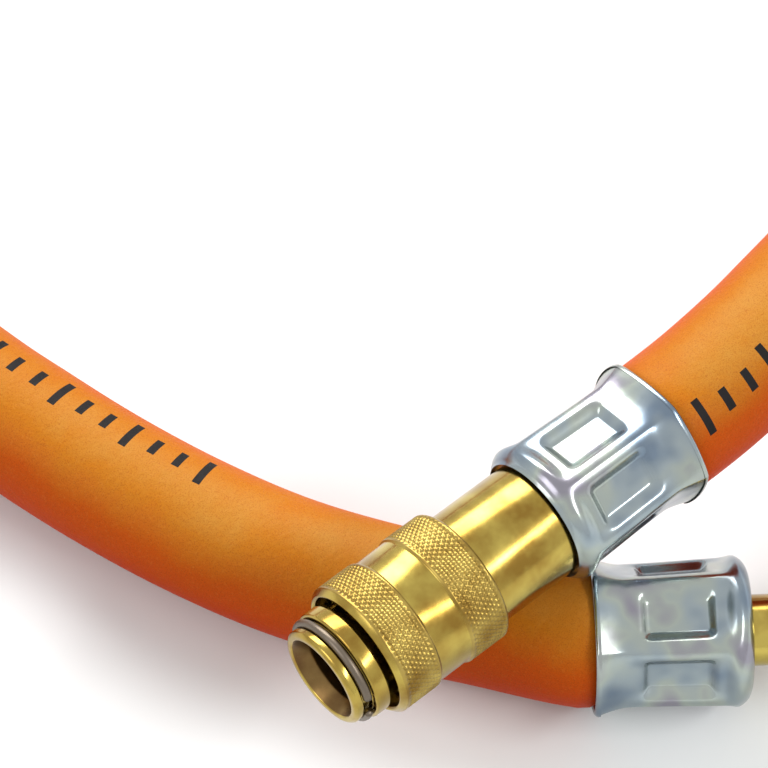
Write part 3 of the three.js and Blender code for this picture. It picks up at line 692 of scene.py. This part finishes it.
# The crimp of a ferrule: the part's hexagon and waist, with finer ridges, dished faces and deep dimples
def crimp(turn):
    face = 2 * math.pi / CRIMP_FACES
    body = FERRULE_BODY_D / 2
    flare_start = FERRULE_LENGTH - FERRULE_FLARE
    dimple_end = DIMPLE_START + DIMPLE_LENGTH

    def panel(off, station, edge_angle, edge, grow):
        across = 1 - ease((off - DIMPLE_HALF_ANGLE + DIMPLE_EDGE_ANGLE / 2) / edge_angle)
        from_start = ease((station - DIMPLE_START + grow) / edge)
        return across * from_start * ease((dimple_end + grow - station) / edge)

    def press(radius, station, angle):
        off = np.abs(angle - turn - face * np.round((angle - turn) / face))
        flared = ease((station - flare_start) / FERRULE_FLARE)
        waist = WAIST_DEPTH * ease((station - CRIMP_START) / (flare_start - CRIMP_START)) * (1 - flared)
        ridge = np.exp(-(body - waist) / RIDGE_SOFTNESS)
        flat = np.exp(-(FERRULE_FLATS / 2 - waist) / np.cos(off) / RIDGE_SOFTNESS)
        blunt = RIDGE_LIFT - RIDGE_SOFTNESS * np.log(ridge + flat)
        press_in = ease((station - CRIMP_START) / CRIMP_RUN_IN) * (1 - (1 - RIM_CRIMP) * flared)
        dish = DISH_DEPTH * panel(off, station, DISH_EDGE_ANGLE, DISH_EDGE, DISH_EDGE)
        dimple = DIMPLE_DEPTH * panel(off, station, DIMPLE_EDGE_ANGLE, DIMPLE_EDGE, 0)
        wave = RIM_WAVE_DEPTH * np.sin(RIM_WAVES * angle + RIM_WAVE_TURN) * flared
        return (wave - (body - blunt) * press_in - dish - dimple) * (radius > body - FERRULE_FILLET)

    return press


def ferrule(name, profile, place, turn, finish, node):
    made = lathe(name, profile, place, FERRULE_ROUND, crimp(turn), FERRULE_SHARP_ANGLE)
    dress(made, node, finish)


def ferrules(finish):
    profile = ferrule_profile(TAIL_NECK_D / 2 + RUN_GAP, TAIL_D / 2 + RECESS_MARGIN, FERRULE_RECESS)
    place = coupler_matrix() @ Matrix.Translation((TAIL_END, 0, 0))
    ferrule("coupler_ferrule_shell", profile, place, COUPLER_CRIMP_ANGLE, finish, "coupler_ferrule")
    profile = ferrule_profile(PLUG_D / 2 + RUN_GAP, 0, 0)
    place = nipple_matrix() @ Matrix.Translation((PLUG_LENGTH, 0, 0))
    ferrule("nipple_ferrule_shell", profile, place, NIPPLE_CRIMP_ANGLE, finish, "nipple_ferrule")


def knurl(radius, station, angle):
    bands = (
        (SLEEVE_START + KNURL_FRONT_MARGIN, FRONT_BAND_END - KNURL_MIDDLE_MARGIN),
        (REAR_BAND_START + KNURL_MIDDLE_MARGIN, SLEEVE_END - KNURL_REAR_MARGIN),
    )
    shown = sum(ease((station - a) / KNURL_FADE) * ease((b - station) / KNURL_FADE) for a, b in bands)
    pitch = math.pi * SLEEVE_D / KNURL_COUNT
    turns = angle * KNURL_COUNT / (2 * math.pi)
    lean = station / (pitch * KNURL_LEAN)

    def ridge(t):
        return np.abs(2 * (t - np.floor(t)) - 1)

    height = np.minimum(ridge(turns + lean), ridge(turns - lean))
    groove = 1 - ease(height * KNURL_SHARPNESS)
    outer = radius > SLEEVE_D / 2 - KNURL_SKIN
    return -KNURL_DEPTH * groove * shown * outer


def sleeve_profile():
    outer = SLEEVE_D / 2
    smooth = outer - SMOOTH_DEPTH
    mouth, cam, land = SLEEVE_MOUTH_D / 2, CAM_START_D / 2, LOCK_LAND_D / 2
    bore = TAIL_D / 2 + RUN_GAP
    return rounded([
        (mouth, SLEEVE_START + EDGE), (mouth + EDGE, SLEEVE_START),
        (outer - SLEEVE_CHAMFER, SLEEVE_START), (outer, SLEEVE_START + SLEEVE_CHAMFER),
        (outer, FRONT_BAND_END - EDGE), (smooth, FRONT_BAND_END),
        (smooth, REAR_BAND_START), (outer, REAR_BAND_START + EDGE),
        (outer, SLEEVE_END - SLEEVE_REAR_CHAMFER), (outer - SLEEVE_REAR_CHAMFER, SLEEVE_END),
        (bore, SLEEVE_END), (bore, LAND_END), (land, LAND_END), (land, LAND_START),
        (cam, CAM_START), (mouth, CAM_START),
    ], SLEEVE_EDGE_ROUND)


# Profile with rows close enough for the knurl on its two bands
def with_knurl_rows(profile):
    skin = SLEEVE_D / 2 - KNURL_SKIN
    fine = []
    for i, (r, s) in enumerate(profile):
        nr, ns = profile[(i + 1) % len(profile)]
        on_band = r > skin and nr > skin and abs(ns - s) > KNURL_LEAST_WIDTH
        parts = math.ceil(abs(ns - s) / KNURL_ROW) if on_band else 1
        fine += [(r + (nr - r) * k / parts, s + (ns - s) * k / parts) for k in range(parts)]
    return fine


def sleeve(finish, knurl_dirt_and_shade_finish):
    profile = with_knurl_rows(sleeve_profile())
    made = lathe("knurled_sleeve", profile, coupler_matrix(), KNURL_COUNT * KNURL_STEPS, knurl,
                 SLEEVE_SHARP_ANGLE)
    dress(made, "coupler_sleeve", finish, "sleeve")
    teeth = SLEEVE_D / 2 - KNURL_DEPTH - KNURL_SKIN
    middle = (FRONT_BAND_END + REAR_BAND_START) / 2
    # The knurled bands get the darker brass: painted shade of the knurl's grooves, with dirt
    refinish(made, knurl_dirt_and_shade_finish,
             lambda station, radius: radius > teeth and abs(station - middle) > SMOOTH_BAND / 2)


def nose(finish, bore_shade_finish):
    bore, lip, cage, chamber = BODY_BORE_D / 2, LIP_D / 2, CAGE_D / 2, CHAMBER_D / 2
    ring = lip - RING_GROOVE_DEPTH
    ring_end = RING_GROOVE_AT + RING_GROOVE_WIDTH
    seal = SEAL_GROOVE_D / 2
    seal_start = SEAL_GROOVE_AT - SEAL_GROOVE_WIDTH / 2
    seal_end = SEAL_GROOVE_AT + SEAL_GROOVE_WIDTH / 2
    made = lathe("nose_body", rounded([
        (MOUTH_D / 2, 0), (lip - LIP_BEVEL, 0), (lip, LIP_BEVEL),
        (lip, RING_GROOVE_AT), (ring, RING_GROOVE_AT), (ring, ring_end), (lip, ring_end),
        (lip, COLLAR_END + FACE_GAP), (cage, COLLAR_END + RUN_GAP), (cage, BODY_END), (chamber, BODY_END),
        (chamber, SEAT_CONE_AT + chamber - bore), (bore, SEAT_CONE_AT),
        (bore, seal_end), (seal, seal_end), (seal, seal_start), (bore, seal_start), (bore, MOUTH_DEPTH),
    ], NOSE_EDGE_ROUND), coupler_matrix())
    cut_ball_holes(made)
    dress(made, "coupler_body", finish)
    # The bore behind the mouth's edge gets the dark brass: painted shade inside the bore
    refinish(made, bore_shade_finish,
             lambda station, radius: station > BORE_SHADE_START and radius < MOUTH_D / 2)


def collar(finish):
    inner, outer = LIP_D / 2 + FACE_GAP, COLLAR_D / 2
    made = lathe("collar", rounded([
        (inner, COLLAR_START), (outer - EDGE, COLLAR_START), (outer, COLLAR_START + EDGE),
        (outer, COLLAR_END - EDGE), (outer - EDGE, COLLAR_END), (inner, COLLAR_END),
    ], NOSE_EDGE_ROUND), coupler_matrix())
    dress(made, "stop_collar", finish)


def tail(finish):
    outer, socket, neck = TAIL_D / 2, CAGE_D / 2 + RUN_GAP, TAIL_NECK_D / 2
    passage, chamber = TAIL_PASSAGE_D / 2, TAIL_CHAMBER_D / 2
    seat = TAIL_END + FERRULE_RECESS - FACE_GAP
    stem = TAIL_END + FERRULE_RECESS + FERRULE_WALL
    made = lathe("tail", rounded([
        (socket, TAIL_START), (outer - TAIL_CHAMFER, TAIL_START), (outer, TAIL_START + TAIL_CHAMFER),
        (outer, seat), (neck, seat), (neck, stem), (BARB_ROOT_D / 2, stem),
        *barb_points(stem + STEM_GAP), (passage, stem + STEM_GAP + BARB_LENGTH),
        (passage, TAIL_CHAMBER_END), (chamber, TAIL_CHAMBER_END), (chamber, SOCKET_END), (socket, SOCKET_END),
    ], STEM_EDGE_ROUND), coupler_matrix())
    dress(made, "coupler_tail", finish)


def plug(finish):
    outer, bore = PLUG_D / 2, PLUG_BORE_D / 2
    groove = outer - PLUG_GROOVE_DEPTH
    groove_start = PLUG_GROOVE_AT - PLUG_GROOVE_WIDTH / 2
    groove_end = PLUG_GROOVE_AT + PLUG_GROOVE_WIDTH / 2
    stem = PLUG_LENGTH + FERRULE_WALL
    made = lathe("plug", rounded([
        (bore + EDGE, 0), (outer - PLUG_CHAMFER, 0), (outer, PLUG_CHAMFER),
        (outer, groove_start), (groove, groove_start + PLUG_GROOVE_DEPTH),
        (groove, groove_end - PLUG_GROOVE_DEPTH), (outer, groove_end),
        (outer, stem), (BARB_ROOT_D / 2, stem + RUN_GAP),
        *barb_points(stem + STEM_GAP), (bore, stem + STEM_GAP + BARB_LENGTH), (bore, EDGE),
    ], STEM_EDGE_ROUND), nipple_matrix())
    dress(made, "plug_nipple", finish)


def barb_points(start):
    pitch = BARB_LENGTH / BARB_COUNT
    crest, root = BARB_CREST_D / 2, BARB_ROOT_D / 2 - BARB_UNDERCUT
    points = []
    for i in range(BARB_COUNT):
        top = start + pitch * (i + BARB_RISE)
        points += [(crest, top), (crest, top + pitch * BARB_LAND), (root, start + pitch * (i + 1))]
    return points


# Cuts the radial holes of the ball cage
def cut_ball_holes(body):
    shaper = bpy.data.meshes.new("holes")
    holes = bmesh.new()
    radius = BALL_HOLE_D / 2
    for i in range(BALL_COUNT):
        around = Matrix.Rotation(i * 2 * math.pi / BALL_COUNT, 4, "X")
        outwards = Matrix.Rotation(math.pi / 2, 4, "X")
        out = around @ Matrix.Translation((BALL_AT, BALL_HOLE_MIDDLE, 0)) @ outwards
        bmesh.ops.create_cone(holes, cap_ends=True, segments=HOLE_SIDES, radius1=radius, radius2=radius,
                              depth=BALL_HOLE_LENGTH, matrix=Matrix.Scale(MM, 4) @ coupler_matrix() @ out)
    holes.to_mesh(shaper)
    holes.free()
    cutter = bpy.data.objects.new("holes", shaper)
    bpy.context.scene.collection.objects.link(cutter)
    cut = body.modifiers.new("holes", "BOOLEAN")
    cut.object = cutter
    cut.solver = "EXACT"
    bpy.context.view_layer.update()
    result = bpy.data.meshes.new_from_object(body.evaluated_get(bpy.context.evaluated_depsgraph_get()))
    body.modifiers.clear()
    body.data = result
    bpy.data.objects.remove(cutter)
    body.data.set_sharp_from_angle(angle=math.radians(SHARP_ANGLE))


def wire(name, line, diameter):
    return tube(name, line, distances(line), np.full(len(line), diameter / 2), WIRE_SIDES)


def snap_ring(finish):
    place = coupler_place()
    station = place.x + RING_GROOVE_AT + RING_GROOVE_WIDTH / 2
    radius = LIP_D / 2 - RING_GROOVE_DEPTH + RING_WIRE_D / 2 + RUN_GAP
    first = RING_OPEN_AT + RING_OPEN_ANGLE / 2
    last = RING_OPEN_AT + 360 - RING_OPEN_ANGLE / 2
    angles = np.radians(np.linspace(first, last, RING_POINTS))
    line = np.stack([np.full(len(angles), station), place.y + radius * np.cos(angles),
                     place.z + radius * np.sin(angles)], 1)
    dress(wire("wire_ring", line, RING_WIRE_D), "snap_ring", finish)


def helix(name, mean_d, wire_d, turns, start, end):
    place = coupler_place()
    t = np.linspace(0, 1, int(turns * COIL_STEPS_PER_TURN) + 1)
    reach = wire_d / 2 + FACE_GAP
    angle = t * turns * 2 * math.pi
    line = np.stack([place.x + start + reach + (end - start - 2 * reach) * t,
                     place.y + mean_d / 2 * np.cos(angle), place.z + mean_d / 2 * np.sin(angle)], 1)
    return wire(name, line, wire_d)


def springs(finish):
    outer = helix("sleeve_coil", SLEEVE_SPRING_D, SLEEVE_SPRING_WIRE_D, SLEEVE_SPRING_TURNS, LAND_END,
                  TAIL_START)
    dress(outer, "sleeve_spring", finish, None)
    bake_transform(outer)
    inner = helix("valve_coil", VALVE_SPRING_D, VALVE_SPRING_WIRE_D, VALVE_SPRING_TURNS, VALVE_FLANGE_END,
                  TAIL_CHAMBER_END)
    dress(inner, "valve_spring", finish, None)
    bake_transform(inner)


# Poppet, seals and balls keep the part's own solids
def inner_pieces(valve_finish, ball_finish, seal_finish):
    finishes = {"valve": valve_finish, "valve_seal": seal_finish, "front_seal": seal_finish,
                "body_seal": seal_finish}
    finishes.update({f"ball_{i + 1}": ball_finish for i in range(BALL_COUNT)})
    for name, finish in finishes.items():
        node = frame["nodes"][name]
        node.data.materials.clear()
        node.data.materials.append(finish)
        node.data.polygons.foreach_set("use_smooth", [True] * len(node.data.polygons))
        node.data.set_sharp_from_angle(angle=math.radians(SHARP_ANGLE))


def area_light(name, place, size, power, color):
    data = bpy.data.lights.new(name, "AREA")
    data.shape = "RECTANGLE"
    data.size, data.size_y = size
    data.energy = power
    data.color = color
    made = bpy.data.objects.new(name, data)
    bpy.context.scene.collection.objects.link(made)
    made.location = place
    made.rotation_euler = (-Vector(place)).to_track_quat("-Z", "Y").to_euler()


# Rays that show the background: those of the camera, and those that metal and glass send out
def shows_background(tree):
    rays = tree.nodes.new("ShaderNodeLightPath")
    sent = math_node(tree, "MAXIMUM", rays.outputs["Is Glossy Ray"], rays.outputs["Is Transmission Ray"])
    return math_node(tree, "MAXIMUM", rays.outputs["Is Camera Ray"], sent)


# Plain white where it is seen, and dimmer where it only lights the object
def world():
    made = bpy.data.worlds.new("studio")
    bpy.context.scene.world = made
    made.use_nodes = True
    tree = made.node_tree
    back = tree.nodes["Background"]
    seen = mixed(tree, shows_background(tree), ROOM_LIGHT, BACKGROUND)
    tree.links.new(seen, back.inputs["Color"])
    back.inputs["Strength"].default_value = 1.0


def floor():
    bpy.ops.mesh.primitive_plane_add(size=FLOOR_SIZE, location=(0, 0, 0))
    made = bpy.context.object
    made.name = "floor"
    pale, tree, shader = material("pale_floor", (0.8, 0.8, 0.8), roughness=0.9)
    tone = mixed(tree, shows_background(tree), FLOOR_LIGHT, FLOOR_SEEN)
    tree.links.new(tone, shader.inputs["Base Color"])
    made.data.materials.append(pale)


def studio():
    bpy.context.scene.view_settings.view_transform = "Standard"
    floor()
    world()
    for lamp in LAMPS:
        area_light(**lamp)


camera()
hose_skin = hose()
hose_skin.data.materials.append(hose_rubber())
polished = brass("brass", dark=(0.27, 0.16, 0.03), light=(0.5, 0.39, 0.09), least_rough=0.14)
# Dark, rougher brass for the bore of the mouth: painted shade inside the bore
bore_shade_brass = brass("bore_painted_shade_brass", dark=(0.1, 0.05, 0.02), light=(0.22, 0.14, 0.05), least_rough=0.24)
# Darker, rougher brass for the knurled bands: painted shade of the knurl's grooves, with dirt
knurled = brass("knurled_brass", dark=(0.22, 0.13, 0.025), light=(0.46, 0.34, 0.09), least_rough=0.26)
# Dark brown steel: on the snap ring this is partly the steel's own dark tone and partly painted shade of the
# ring's groove
spring_steel = steel("spring_steel", (0.16, 0.13, 0.1), roughness=0.38)
ball_steel = steel("ball_steel", (0.78, 0.79, 0.8), roughness=0.12)
nose(polished, bore_shade_brass)
collar(polished)
tail(polished)
plug(polished)
sleeve(polished, knurled)
ferrules(zinc())
# The snap ring's dark steel partly paints the shade of its groove
snap_ring(spring_steel)
springs(spring_steel)
inner_pieces(polished, ball_steel, seal_rubber())
studio()
